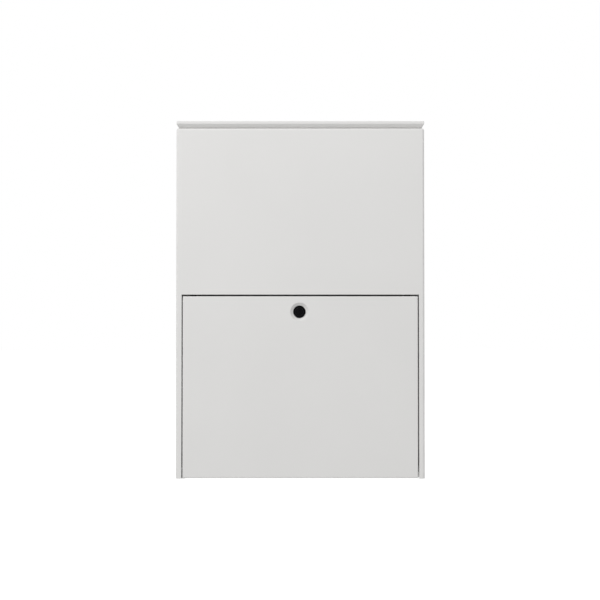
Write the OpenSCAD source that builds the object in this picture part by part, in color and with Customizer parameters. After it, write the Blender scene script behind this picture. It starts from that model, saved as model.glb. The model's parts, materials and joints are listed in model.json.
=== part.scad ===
// Wall or floor standing parcel locker. Parcels go in under the lid at the top and land on a
// hinged flap. Closing the lid drops the flap, so the parcel falls into the locked lower
// compartment, which empties through the drop-down door. Front is -Y, up is +Z, and the
// origin is at the middle of the footprint, on the surface the locker stands on.

/* [Cabinet] */
// Overall width
width = 400; // [380:5:460]
// Overall depth, front face to back face
depth = 340; // [330:5:380]
// Overall height with the lid shut
height = 576; // [560:4:640]
// Thickness of the folded steel sheet
sheet = 1.5; // [1.2:0.1:1.6]
// Outer radius of the cabinet's folds
fold_r = 3.5; // [2.5:0.5:4]
// Width of the flange folded in around the top mouth
mouth_flange = 14; // [14:1:16]

/* [Lid] */
// Height of the lid's upright edge
lid_face = 4.5; // [4.3:0.1:8]
// How far the lid's 45 degree return runs in and down
lid_return = 6.5; // [5:0.5:7]
// Gap between the lid's return and the cabinet's top
lid_gap = 0.5; // [0.4:0.1:1.5]
// Depth of the fixed rail behind the lid
rail_depth = 42; // [38:1:50]
// Outer radius of the hinge knuckles
knuckle_r = 3.5; // [3.3:0.1:4]

/* [Door] */
// Height of the door's top edge
door_top = 293; // [280:1:300]
// Thickness of the double-skinned door
door_thick = 18; // [17:0.5:18]
// Width of the cabinet's front strips beside the door
strip_w = 9; // [9:0.5:12]
// Gap at each side of the door
side_gap = 1.5; // [1.3:0.1:2]
// Gap over the door
top_gap = 2.6; // [1.8:0.1:3]
// Gap under the door
bottom_gap = 1; // [0.9:0.1:1.6]

/* [Lock] */
// Distance of the lock below the door's top edge
lock_drop = 25; // [24:0.5:28]
// How far the lock sits to the right of the middle
lock_x = -1.5; // [-3:0.5:3]
// Radius of the pressed dish around the lock
dish_r = 14; // [13:0.5:16]
// Depth of the pressed dish
dish_depth = 3.5; // [3:0.5:4]
// Radius of the lock's face
lock_face_r = 10; // [9.8:0.1:10.2]
// Length of the cam from its centre to its tip
cam_len = 42; // [38:1:44]

/* [Flap] */
// Height of the flap's pivot
flap_z = 310; // [305:1:330]
// Length of the flap from its pivot to its edge
flap_len = 290; // [270:5:290]
// Crank length of the linkage between the lid and the flap
crank_len = 30; // [28:1:32]

/* [Mounting] */
// Distance between mounting holes across the width
hole_dx = 300; // [200:10:300]
// Distance between the wall holes in height
hole_dz = 400; // [300:10:400]
// Height of the middle of the wall holes
hole_z = 280; // [260:10:300]
// Distance between the floor holes in depth
hole_dy = 220; // [160:10:220]
// Radius of the mounting holes
hole_r = 4.5; // [3:0.5:6]

/* [Hidden] */
$fn = 64;

// Paint and material colours
paint = [0.88, 0.875, 0.86];
zinc = [0.72, 0.73, 0.75];
black = [0.06, 0.06, 0.065];
nylon = [0.2, 0.2, 0.21];

// Small distance by which a cutter passes its target
past = 1;
// Radial clearance of a running fit
run = 0.05;

// Main faces and levels
half_w = width / 2;
front = -depth / 2;
back = depth / 2;
wall_in = half_w - sheet;
lid_bottom = height - lid_face - lid_return;
cab_top = lid_bottom - lid_gap;
mouth_x = half_w - mouth_flange;
mouth_y = front + mouth_flange;
rear_flange = 14.5;
seal_w = 3.5;
seal_y = mouth_y - 4.5;
seal_crush = 0.3;
seal_rear = 12;

// Lid hinge
axis_y = back - rail_depth - knuckle_r;
axis_z = height - knuckle_r;
rail_front = axis_y + knuckle_r;
lid_rear = axis_y - knuckle_r;
lid_edge_r = 2;
hinge_pin_r = 2;
hinge_half = half_w - 14;
leaf = 1.2;
leaf_clear = 0.3;
knuckles = 11;
knuckle_len = 2 * hinge_half / knuckles;
leaf_top = axis_z - knuckle_r - leaf_clear;
leaf_low = lid_bottom + 0.2;
rivet_r = 1.2;
leaf_head_r = 1.8;
rivet_z = (leaf_low + leaf_top) / 2;
rivet_xs = [for (i = [-3:3]) i * 55];

// Rear rail
rail_skirt = 8;
rail_flange = 20;
rail_half = mouth_x - 3;
rail_screw_y = back - sheet - rail_flange / 2;
rail_screw_xs = [-150, -50, 50, 150];
screw_r = 2.5;
head_r = 4.6;
head_h = 2.8;
rail_nut_h = 4;
panel_rivet_zs = [for (i = [0:5]) 30 + i * 100];
panel_head_r = 2.2;

// Lid's stiffeners
rib_x = 85;
rib_h = 7;
rib_crown = 30;
rib_brim = 10;
rib_front = front + 16;
rib_rear = lid_rear - 12;

// Door and its hinge
door_half = half_w - strip_w - side_gap;
door_rear = front + door_thick;
door_edge_r = 2;
jamb_x = half_w - strip_w;
jamb_low = 40;
jamb_high = door_top + top_gap;
jamb_rear = door_rear + 2;
jamb_lip = 11;
strip_in = jamb_x - 9;
strip_out = jamb_x - 2;
strip_front = door_rear + 0.2;
strip_low = jamb_low + 5;
strip_high = jamb_high - 6;
pivot_y = front + 6;
pivot_z = 15;
door_pin_r = 2.2;
door_pin_in = door_half - 8;
bush_r = 3.6;
bush_flange_r = 4.5;
bush_flange = 0.8;
bracket_t = 3;
bracket_top = jamb_low - 6;
lug_t = 3;
lug_top = 40;
stop_t = 3.5;
stop_low = pivot_z - 2;
stop_in = door_half - 20;
stop_out = wall_in - bracket_t - 0.5;
stop_top = pivot_y - front - sheet - 0.1;
inner_skin_y = door_rear - sheet;
pan_depth = 4;
pan_half = 150;
pan_low = 40;
pan_high = 230;

// Strike rail behind the front panel's lower edge
strike_lip_y = door_rear + sheet;
strike_h = 16;

// Lock
lock_z = door_top - lock_drop;
barrel_r = 9.5;
plug_r = 6.5;
lock_flange = 1.5;
barrel_rear = door_rear + 2.8;
nut_t = 3;
nut_r = 14;
plug_face = front + dish_depth - lock_flange + 0.3;
key_half_w = 0.9;
key_half_h = 4;
key_depth = 4;
cam_front = door_rear + nut_t + 0.5;
cam_t = 2.5;
cam_tip_r = 8;
cam_hub_r = 10;
tenon = 8;
cam_screw_r = 2;
cam_screw_grip = 6;
washer_r = 6.5;
washer_t = 1;
cam_head_r = 4;
cam_head_h = 2;

// Floor pan, clear of the door's lower edge as it swings
door_sweep = norm([door_rear - pivot_y, pivot_z - bottom_gap]);
lip_y = pivot_y + door_sweep + 0.8;
lip_h = 15;

// Flap and its linkage
flap_y = back - 15;
shaft_r = 5;
shaft_half = wall_in - 2;
curl_r = shaft_r + sheet;
flap_half = half_w - 25;
flap_tip = flap_z - flap_len;
flap_fold = 10;
flap_wing_top = flap_z - 14;
stiff_z = flap_z - flap_len / 2;
stiff_w = 40;
stiff_h = 7;
stiff_brim = 12;
stiff_half = flap_half - 12;
trim_w = 2;
trim_h = 6;
trim_half = flap_half - 4;
crank_drop = crank_len * sin(45);
link_pin_r = 3;
pin_head_r = 4.8;
pin_head_h = 1.5;
arm_in = half_w - 19;
arm_out = arm_in + 3;
arm_front = 16;
arm_back = 13;
arm_foot = 12;
rod_in = arm_in - 3;
rod_out = rod_in + 2.5;
rod_w = 11;
clip_in = rod_in - 1.2;
clip_t = 1;
clip_r = 5;
pin_tip = 0.6;
eye_r = 7;
crank_hub_r = 9;
crank_w = 12;
bearing_in = arm_out + 4;
bearing_r = 9;
bearing_plate = 3;
bearing_half = 24;
bearing_hole = 18;
bearing_screw_r = 2;
bearing_head_r = 3.8;
bearing_head_h = 2.4;

// Box between two corners
module block(lo, hi) {
    translate(lo) cube(hi - lo);
}

// Round bar along X
module bar_x(x0, x1, y, z, r) {
    translate([x0, y, z]) rotate([0, 90, 0]) cylinder(h = x1 - x0, r = r);
}

// Round bar along Y
module bar_y(y0, y1, x, z, r) {
    translate([x, y0, z]) rotate([-90, 0, 0]) cylinder(h = y1 - y0, r = r);
}

// Outline drawn in Y and Z, run along X
module along_x(x0, x1) {
    translate([x0, 0, 0]) rotate([90, 0, 90]) linear_extrude(x1 - x0) children();
}

// Outline drawn in X and Z, run along Y
module along_y(y0, y1) {
    translate([0, y1, 0]) rotate([90, 0, 0]) linear_extrude(y1 - y0) children();
}

// Shape made for +X, put on one side
module on_side(side) {
    mirror([side < 0 ? 1 : 0, 0, 0]) children();
}

// Shape made for +X, put on both sides
module both_sides() {
    for (side = [-1, 1]) on_side(side) children();
}

// Rectangle with round corners where corners names them, as [+-1, +-1]
module rounded(lo, hi, r, corners) {
    difference() {
        translate(lo) square(hi - lo);
        for (c = corners) {
            corner = [c.x < 0 ? lo.x : hi.x, c.y < 0 ? lo.y : hi.y];
            difference() {
                translate(corner - c * (r - past) / 2) square(r + past, center = true);
                translate(corner - c * r) circle(r);
            }
        }
    }
}

// Flat arm in the YZ plane with a round eye at each end
module arm(x0, x1, from, to, from_r, to_r, w) {
    span = to - from;
    along_x(x0, x1) {
        translate(from) circle(from_r);
        translate(to) circle(to_r);
        translate(from) rotate(atan2(span.y, span.x)) translate([0, -w / 2]) square([norm(span), w]);
    }
}

// Outside or inside of the folded wrap: gap sets every face in
module wrap_form(gap, low, rear) {
    r = fold_r - gap;
    intersection() {
        translate([0, 0, low]) linear_extrude(cab_top - gap - low)
            rounded([-half_w + gap, front + gap], [half_w - gap, rear], r, [[-1, -1], [1, -1]]);
        along_x(-half_w, half_w)
            rounded([front + gap, low - past], [rear + past, cab_top - gap], r, [[-1, 1]]);
        along_y(front, rear + past)
            rounded([-half_w + gap, low - past], [half_w - gap, cab_top - gap], r, [[-1, 1], [1, 1]]);
    }
}

// Front and both sides, folded from one sheet, with the door's opening cut in the front
module cabinet_wrap() {
    rear = back - sheet;
    color(paint) difference() {
        union() {
            difference() {
                wrap_form(0, 0, rear);
                wrap_form(sheet, -past, rear + past);
                block([-mouth_x, mouth_y, cab_top - 2 * sheet], [mouth_x, back, cab_top + past]);
                block([-jamb_x, front - past, -past], [jamb_x, front + 2 * sheet, jamb_high]);
            }
            both_sides() {
                block([jamb_x, front + sheet / 2, jamb_low], [jamb_x + sheet, jamb_rear, jamb_high]);
                block([jamb_x - jamb_lip, jamb_rear, jamb_low],
                      [jamb_x + sheet, jamb_rear + sheet, jamb_high]);
                block([wall_in - rear_flange, rear - sheet, 0],
                      [wall_in + sheet / 2, rear, cab_top - sheet]);
            }
        }
        panel_rivet_holes();
    }
}

// Holes for the rivets that join the back panel to the wrap's rear flanges
module panel_rivet_holes() {
    for (z = panel_rivet_zs) both_sides()
        bar_y(back - 3 * sheet, back + past, wall_in - rear_flange / 2, z, rivet_r);
}

// Back, with a flange folded forward under the rear rail
module back_panel() {
    color(paint) difference() {
        union() {
            block([-half_w + sheet / 2, back - sheet, 0], [half_w - sheet / 2, back, cab_top]);
            block([-rail_half, back - sheet - rail_flange, cab_top - sheet],
                  [rail_half, back - sheet, cab_top]);
        }
        for (x = [-hole_dx / 2, hole_dx / 2], z = [-hole_dz / 2, hole_dz / 2])
            bar_y(back - 2 * sheet, back + past, x, hole_z + z, hole_r);
        rail_screw_holes();
        panel_rivet_holes();
    }
}

// Base tray with its edges turned up
module floor_pan() {
    rear = back - 2 * sheet;
    color(paint) difference() {
        block([-wall_in, lip_y, 0], [wall_in, rear, lip_h]);
        block([-wall_in + sheet, lip_y + sheet, sheet], [wall_in - sheet, rear - sheet, lip_h + past]);
        for (x = [-hole_dx / 2, hole_dx / 2], y = [-hole_dy / 2, hole_dy / 2])
            translate([x, y, -past]) cylinder(h = sheet + 2 * past, r = hole_r);
    }
}

// Channel welded behind the front panel's lower edge; its rear lip catches the cam
module strike_rail() {
    low = jamb_high;
    ends = jamb_x - past;
    color(paint) along_x(-ends, ends) {
        translate([front + sheet, low]) square([strike_lip_y + sheet - front - sheet, sheet]);
        translate([front + sheet, low]) square([sheet, strike_h]);
        translate([strike_lip_y, low]) square([sheet, strike_h]);
    }
}

// Section of the lid and the rear rail: an upright edge, then a return at 45 degrees
module cap_outline(lo, hi, gap, lo_return, hi_return) {
    knee = height - lid_face + gap * (sqrt(2) - 1);
    low = lid_bottom - gap;
    inset = lid_return + gap * (1 + sqrt(2));
    intersection() {
        polygon([
            [lo + gap, height - gap],
            [hi - gap, height - gap],
            [hi - gap, knee],
            [hi - (hi_return ? inset : gap), low],
            [lo + (lo_return ? inset : gap), low],
            [lo + gap, knee],
        ]);
        rounded([lo + gap, low - past], [hi - gap, height - gap], lid_edge_r - gap, [[-1, 1], [1, 1]]);
    }
}

// Outside or inside of the lid or the rear rail, between two depths
module cap_form(lo, hi, gap, front_return) {
    intersection() {
        along_y(lo, hi) cap_outline(-half_w, half_w, gap, true, true);
        along_x(-half_w, half_w) cap_outline(lo, hi, gap, front_return, false);
    }
}

// Fixed cover behind the lid, which carries the hinge
module rear_top_rail() {
    color(paint) difference() {
        union() {
            difference() {
                cap_form(rail_front, back, 0, false);
                cap_form(rail_front, back, sheet, false);
            }
            block([-rail_half, rail_front, cab_top - rail_skirt],
                  [rail_half, rail_front + sheet, lid_bottom + past]);
            block([-rail_half, back - sheet, cab_top], [rail_half, back, lid_bottom + past]);
            block([-rail_half, back - sheet - rail_flange, cab_top],
                  [rail_half, back - sheet / 2, cab_top + sheet]);
        }
        rail_screw_holes();
        for (x = rivet_xs)
            bar_y(rail_front - past, rail_front + 2 * sheet, x, rivet_z, rivet_r);
    }
}

// Holes for the screws between the rear rail and the back panel
module rail_screw_holes() {
    for (x = rail_screw_xs)
        translate([x, rail_screw_y, cab_top - 2 * sheet]) cylinder(h = 4 * sheet, r = screw_r);
}

// Screws from below, with a nut above each
module rail_fasteners() {
    grip = 2 * sheet;
    low = cab_top - sheet;
    color(zinc) for (x = rail_screw_xs) translate([x, rail_screw_y, low]) {
        cylinder(h = grip + rail_nut_h, r = screw_r);
        translate([0, 0, -head_h]) cylinder(h = head_h, r = head_r);
        translate([0, 0, grip]) difference() {
            cylinder(h = rail_nut_h, r = head_r, $fn = 6);
            translate([0, 0, -past]) cylinder(h = rail_nut_h + 2 * past, r = screw_r);
        }
    }
}

// Rubber strip around the front and sides of the top mouth
module lid_seal() {
    side = mouth_x + 1;
    outer = side + seal_w;
    color(black) translate([0, 0, cab_top]) linear_extrude(height - sheet - seal_crush - cab_top) {
        for (x = [-outer, side]) translate([x, seal_y]) square([seal_w, axis_y - seal_rear - seal_y]);
        translate([-outer, seal_y]) square([2 * outer, seal_w]);
    }
}

// Foam strips on the jambs that the shut door rests against
module door_seal_strips() {
    color(black) both_sides()
        block([strip_in, strip_front, strip_low], [strip_out, jamb_rear, strip_high]);
}

// Blind rivets along both edges of the back panel
module panel_rivets() {
    for (z = panel_rivet_zs) both_sides() color(zinc) {
        x = wall_in - rear_flange / 2;
        bar_y(back - 2 * sheet - 1, back, x, z, rivet_r);
        bar_y(back - 2 * sheet - 2, back - 2 * sheet, x, z, panel_head_r);
    }
}

// Hinge leaf on the rail side or the lid side, with its own knuckles
module hinge_leaf(side, first, bore) {
    outer = axis_y + side * knuckle_r;
    inner = outer - side * leaf;
    y0 = min(outer, inner);
    color(zinc) difference() {
        union() {
            block([-hinge_half, y0, leaf_low], [hinge_half, y0 + leaf, leaf_top]);
            for (i = [first:2:knuckles - 1]) {
                x0 = -hinge_half + i * knuckle_len + leaf_clear / 2;
                x1 = x0 + knuckle_len - leaf_clear;
                bar_x(x0, x1, axis_y, axis_z, knuckle_r);
                block([x0, y0, leaf_top - past], [x1, y0 + leaf, axis_z]);
            }
        }
        bar_x(-hinge_half - past, hinge_half + past, axis_y, axis_z, bore);
        for (x = rivet_xs)
            bar_y(y0 - past, y0 + leaf + past, x, rivet_z, rivet_r);
    }
}

module hinge_fixed_leaf() {
    hinge_leaf(1, 0, hinge_pin_r);
}

module hinge_moving_leaf() {
    hinge_leaf(-1, 1, hinge_pin_r + run);
}

module hinge_pin() {
    color(zinc) bar_x(-hinge_half, hinge_half, axis_y, axis_z, hinge_pin_r);
}

// Flush rivets through a hinge leaf, with a head behind the sheet
module leaf_rivets(side, face) {
    color(zinc) for (x = rivet_xs) {
        tip = face - side * leaf;
        inside = face + side * sheet;
        bar_y(min(tip, inside), max(tip, inside), x, rivet_z, rivet_r);
        bar_y(min(inside, inside + side), max(inside, inside + side), x, rivet_z, leaf_head_r);
    }
}

module fixed_leaf_rivets() {
    leaf_rivets(1, rail_front);
}

module moving_leaf_rivets() {
    leaf_rivets(-1, lid_rear);
}

// Nylon bearing of the flap's shaft, screwed to the side wall
module flap_bearing(side) {
    color(nylon) on_side(side) difference() {
        union() {
            bar_x(bearing_in, wall_in, flap_y, flap_z, bearing_r);
            block([wall_in - bearing_plate, flap_y - bearing_r, flap_z - bearing_half],
                  [wall_in, flap_y + bearing_r, flap_z + bearing_half]);
        }
        bar_x(bearing_in - past, wall_in - 1, flap_y, flap_z, shaft_r + run);
        for (z = [-bearing_hole, bearing_hole])
            bar_x(wall_in - bearing_plate - past, wall_in + past, flap_y, flap_z + z, bearing_screw_r);
    }
}

module flap_bearing_left() {
    flap_bearing(-1);
}

module flap_bearing_right() {
    flap_bearing(1);
}

// Screws of the flap's bearings
module bearing_screws() {
    plate = wall_in - bearing_plate;
    color(zinc) both_sides() for (z = [-bearing_hole, bearing_hole]) {
        bar_x(plate, wall_in, flap_y, flap_z + z, bearing_screw_r);
        bar_x(plate - bearing_head_h, plate, flap_y, flap_z + z, bearing_head_r);
    }
}

// Plate inside the side wall that holds the door's hinge pin
module door_bracket(side) {
    color(paint) on_side(side) difference() {
        block([wall_in - bracket_t, front + fold_r, bottom_gap], [wall_in, jamb_rear, bracket_top]);
        bar_x(wall_in - bracket_t - past, wall_in + past, pivot_y, pivot_z, door_pin_r);
    }
}

module door_bracket_left() {
    door_bracket(-1);
}

module door_bracket_right() {
    door_bracket(1);
}

module door_hinge_pins() {
    color(zinc) both_sides() bar_x(door_pin_in, wall_in, pivot_y, pivot_z, door_pin_r);
}

// Lid tray with returns at the front and both sides
module lid_shell() {
    color(paint) difference() {
        cap_form(front, lid_rear, 0, true);
        cap_form(front, lid_rear, sheet, true);
        for (x = rivet_xs)
            bar_y(lid_rear - 2 * sheet, lid_rear + past, x, rivet_z, rivet_r);
    }
}

// Hat sections welded under the lid
module lid_stiffeners() {
    color(paint) both_sides() along_y(rib_front, rib_rear) translate([rib_x, height - sheet]) {
        translate([-rib_crown / 2, -rib_h]) square([rib_crown, sheet]);
        for (s = [-1, 1]) {
            brim_mid = s * (rib_crown + rib_brim - sheet) / 2;
            translate([s * (rib_crown - sheet) / 2 - sheet / 2, -rib_h]) square([sheet, rib_h]);
            translate([brim_mid - rib_brim / 2, -sheet]) square([rib_brim, sheet]);
        }
    }
}

// Arm under the lid that carries the upper end of a link rod
module lid_arm(side) {
    top = height - sheet;
    y = axis_y - crank_drop;
    z = axis_z - crank_drop;
    color(zinc) on_side(side) difference() {
        union() {
            along_x(arm_in, arm_out) {
                translate([y, z]) circle(eye_r);
                polygon([[y - eye_r, z], [y + eye_r, z], [y + arm_back, top], [y - arm_front, top]]);
            }
            block([arm_in - arm_foot, y - arm_front, top - sheet], [arm_in + past, y + arm_back, top]);
        }
        bar_x(arm_in - past, arm_out + past, y, z, link_pin_r);
    }
}

module lid_arm_left() {
    lid_arm(-1);
}

module lid_arm_right() {
    lid_arm(1);
}

// Headed pins at one end of the link rods
module link_pins(y, z) {
    color(zinc) both_sides() {
        bar_x(clip_in - pin_tip, arm_out, y, z, link_pin_r);
        bar_x(arm_out, arm_out + pin_head_h, y, z, pin_head_r);
    }
}

// Spring clips on the pins' inner ends
module link_clips(y, z) {
    color(zinc) both_sides() difference() {
        bar_x(clip_in, clip_in + clip_t, y, z, clip_r);
        bar_x(clip_in - past, clip_in + clip_t + past, y, z, link_pin_r);
    }
}

module lid_arm_pins() {
    link_pins(axis_y - crank_drop, axis_z - crank_drop);
}

module lid_arm_clips() {
    link_clips(axis_y - crank_drop, axis_z - crank_drop);
}

// Flat rod from a lid arm down to a flap crank
module link_rod(side) {
    upper = [axis_y - crank_drop, axis_z - crank_drop];
    lower = [flap_y - crank_drop, flap_z - crank_drop];
    color(zinc) on_side(side) difference() {
        arm(rod_in, rod_out, lower, upper, eye_r, eye_r, rod_w);
        for (end = [lower, upper])
            bar_x(rod_in - past, rod_out + past, end.x, end.y, link_pin_r + run);
    }
}

module link_rod_left() {
    link_rod(-1);
}

module link_rod_right() {
    link_rod(1);
}

// Flap, folded from one sheet and curled around its shaft; it hangs when the lid is shut
module flap_panel() {
    color(paint) difference() {
        union() {
            bar_x(-flap_half, flap_half, flap_y, flap_z, curl_r);
            block([-flap_half, flap_y - curl_r, flap_tip], [flap_half, flap_y - shaft_r, flap_z]);
            block([-flap_half, flap_y - curl_r, flap_tip],
                  [flap_half, flap_y - curl_r + flap_fold, flap_tip + sheet]);
            both_sides()
                block([flap_half - sheet, flap_y - curl_r, flap_tip],
                      [flap_half, flap_y - curl_r + flap_fold, flap_wing_top]);
        }
        bar_x(-flap_half - past, flap_half + past, flap_y, flap_z, shaft_r);
    }
}

// Hat section across the underside of the flap
module flap_stiffener() {
    face = flap_y - shaft_r;
    color(paint) along_x(-stiff_half, stiff_half) translate([face, stiff_z]) {
        for (s = [-1, 1]) {
            translate([0, (s * (stiff_w - stiff_brim) - stiff_brim) / 2]) square([sheet, stiff_brim]);
            translate([0, s * (stiff_w / 2 - stiff_brim) - sheet / 2]) square([stiff_h, sheet]);
        }
        translate([stiff_h - sheet, stiff_brim - stiff_w / 2]) square([sheet, stiff_w - 2 * stiff_brim]);
    }
}

// Rubber channel over the flap's free edge
module flap_edge_trim() {
    y0 = flap_y - curl_r;
    y1 = y0 + flap_fold;
    color(black) difference() {
        block([-trim_half, y0 - trim_w, flap_tip - trim_w], [trim_half, y1 + trim_w, flap_tip + trim_h]);
        block([-trim_half - past, y0, flap_tip], [trim_half + past, y1, flap_tip + trim_h + past]);
    }
}

module flap_shaft() {
    color(zinc) bar_x(-shaft_half, shaft_half, flap_y, flap_z, shaft_r);
}

// Crank pressed on the flap's shaft
module flap_crank(side) {
    hub = [flap_y, flap_z];
    eye = hub - [crank_drop, crank_drop];
    color(zinc) on_side(side) difference() {
        arm(arm_in, arm_out, hub, eye, crank_hub_r, eye_r, crank_w);
        bar_x(arm_in - past, arm_out + past, hub.x, hub.y, shaft_r);
        bar_x(arm_in - past, arm_out + past, eye.x, eye.y, link_pin_r);
    }
}

module flap_crank_left() {
    flap_crank(-1);
}

module flap_crank_right() {
    flap_crank(1);
}

module flap_crank_pins() {
    link_pins(flap_y - crank_drop, flap_z - crank_drop);
}

module flap_crank_clips() {
    link_clips(flap_y - crank_drop, flap_z - crank_drop);
}

// Outside or inside of the door's outer tray
module door_form(gap, rear) {
    r = door_edge_r - gap;
    intersection() {
        translate([0, 0, bottom_gap + gap]) linear_extrude(door_top - bottom_gap - 2 * gap)
            rounded([-door_half + gap, front + gap], [door_half - gap, rear], r, [[-1, -1], [1, -1]]);
        along_x(-door_half, door_half)
            rounded([front + gap, bottom_gap + gap], [rear + past, door_top - gap], r, [[-1, -1], [-1, 1]]);
    }
}

// Door's outer tray, with the lock's dish pressed in
module door_outer_skin() {
    dish_floor = front + dish_depth;
    color(paint) difference() {
        union() {
            difference() {
                door_form(0, door_rear);
                door_form(sheet, door_rear + past);
            }
            translate([lock_x, front + sheet / 2, lock_z]) rotate([-90, 0, 0])
                cylinder(h = dish_depth + sheet / 2, r1 = dish_r + sheet, r2 = lock_face_r + 2);
        }
        translate([lock_x, front, lock_z]) rotate([-90, 0, 0])
            cylinder(h = dish_depth, r1 = dish_r, r2 = lock_face_r + 0.5);
        translate([lock_x, front - past, lock_z]) rotate([-90, 0, 0])
            cylinder(h = past, r = dish_r);
        bar_y(dish_floor - past, dish_floor + 2 * sheet, lock_x, lock_z, barrel_r);
        both_sides() bar_x(door_half - 2 * sheet, door_half + past, pivot_y, pivot_z, bush_r);
    }
}

// Door's inner skin, with a shallow pan pressed in for stiffness
module door_inner_skin() {
    half = door_half - sheet;
    low = bottom_gap + sheet;
    high = door_top - sheet;
    color(paint) difference() {
        union() {
            block([-half, inner_skin_y, low], [half, door_rear, high]);
            block([-pan_half, inner_skin_y - pan_depth, pan_low], [pan_half, door_rear, pan_high]);
        }
        block([-pan_half + sheet, door_rear - pan_depth, pan_low + sheet],
              [pan_half - sheet, door_rear + past, pan_high - sheet]);
        bar_y(inner_skin_y - past, door_rear + past, lock_x, lock_z, barrel_r);
    }
}

// Reinforcing plate inside the door's lower corner, which holds a hinge bush
module door_lug(side) {
    outer = door_half - sheet;
    color(zinc) on_side(side) difference() {
        block([outer - lug_t, front + door_edge_r, bottom_gap + door_edge_r],
              [outer, inner_skin_y, lug_top]);
        bar_x(outer - lug_t - past, outer + past, pivot_y, pivot_z, bush_r);
    }
}

module door_lug_left() {
    door_lug(-1);
}

module door_lug_right() {
    door_lug(1);
}

// Flanged nylon bushes that turn on the door's hinge pins
module door_bushes() {
    inner = door_half - sheet - lug_t;
    color(nylon) both_sides() difference() {
        union() {
            bar_x(inner, door_half, pivot_y, pivot_z, bush_r);
            bar_x(door_half, door_half + bush_flange, pivot_y, pivot_z, bush_flange_r);
        }
        bar_x(inner - past, door_half + bush_flange + past, pivot_y, pivot_z, door_pin_r + run);
    }
}

// Bars behind the door that meet the front strips when the door is fully down
module door_stop_lugs() {
    color(zinc) both_sides()
        block([stop_in, door_rear, stop_low], [stop_out, door_rear + stop_t, pivot_z + stop_top]);
}

// Lock body: a round face in the dish and a barrel through both skins
module lock_housing() {
    seat = front + dish_depth;
    color(black) difference() {
        union() {
            bar_y(seat - lock_flange, seat, lock_x, lock_z, lock_face_r);
            bar_y(seat, barrel_rear, lock_x, lock_z, barrel_r);
        }
        bar_y(front - past, barrel_rear + past, lock_x, lock_z, plug_r + run);
    }
}

module lock_nut() {
    color(zinc) translate([lock_x, door_rear, lock_z]) rotate([-90, 0, 0]) difference() {
        cylinder(h = nut_t, r = nut_r, $fn = 6);
        translate([0, 0, -past]) cylinder(h = nut_t + 2 * past, r = barrel_r);
    }
}

// Square tenon of the plug, and the hole for it in the cam
module tenon_block(rear) {
    half = tenon / 2;
    block([lock_x - half, cam_front - past, lock_z - half], [lock_x + half, rear, lock_z + half]);
}

// Key plug, with a plain keyway in its face and a square tenon for the cam
module lock_plug() {
    color(black) difference() {
        union() {
            bar_y(plug_face, cam_front, lock_x, lock_z, plug_r);
            tenon_block(cam_front + cam_t);
        }
        block([lock_x - key_half_w, plug_face - past, lock_z - key_half_h],
              [lock_x + key_half_w, plug_face + key_depth, lock_z + key_half_h]);
        bar_y(cam_front - cam_screw_grip, cam_front + cam_t + past, lock_x, lock_z, cam_screw_r);
    }
}

// Cam, shown unlocked; a quarter turn takes its tip up behind the strike rail's lip
module lock_cam() {
    tip = cam_len - cam_tip_r;
    color(zinc) difference() {
        along_y(cam_front, cam_front + cam_t) {
            translate([lock_x, lock_z]) circle(cam_hub_r);
            translate([lock_x, lock_z - cam_tip_r]) square([tip, 2 * cam_tip_r]);
            translate([lock_x + tip, lock_z]) circle(cam_tip_r);
        }
        tenon_block(cam_front + cam_t + past);
    }
}

module lock_cam_screw() {
    rear = cam_front + cam_t;
    color(zinc) {
        bar_y(cam_front - cam_screw_grip, rear, lock_x, lock_z, cam_screw_r);
        bar_y(rear, rear + washer_t, lock_x, lock_z, washer_r);
        bar_y(rear + washer_t, rear + washer_t + cam_head_h, lock_x, lock_z, cam_head_r);
    }
}

cabinet_wrap();
back_panel();
floor_pan();
strike_rail();
rear_top_rail();
rail_fasteners();
lid_seal();
door_seal_strips();
panel_rivets();
hinge_fixed_leaf();
hinge_pin();
fixed_leaf_rivets();
flap_bearing_left();
flap_bearing_right();
bearing_screws();
door_bracket_left();
door_bracket_right();
door_hinge_pins();
lid_shell();
lid_stiffeners();
hinge_moving_leaf();
moving_leaf_rivets();
lid_arm_left();
lid_arm_right();
lid_arm_pins();
lid_arm_clips();
link_rod_left();
link_rod_right();
flap_panel();
flap_stiffener();
flap_edge_trim();
flap_shaft();
flap_crank_left();
flap_crank_right();
flap_crank_pins();
flap_crank_clips();
door_outer_skin();
door_inner_skin();
door_lug_left();
door_lug_right();
door_bushes();
door_stop_lugs();
lock_housing();
lock_nut();
lock_plug();
lock_cam();
lock_cam_screw();
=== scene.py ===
"""Looks of the parcel locker: folded steel pieces, lock, seals, hardware, finishes and a plain studio."""

import json
import math

import bmesh
import bpy
from mathutils import Matrix, Vector


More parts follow.
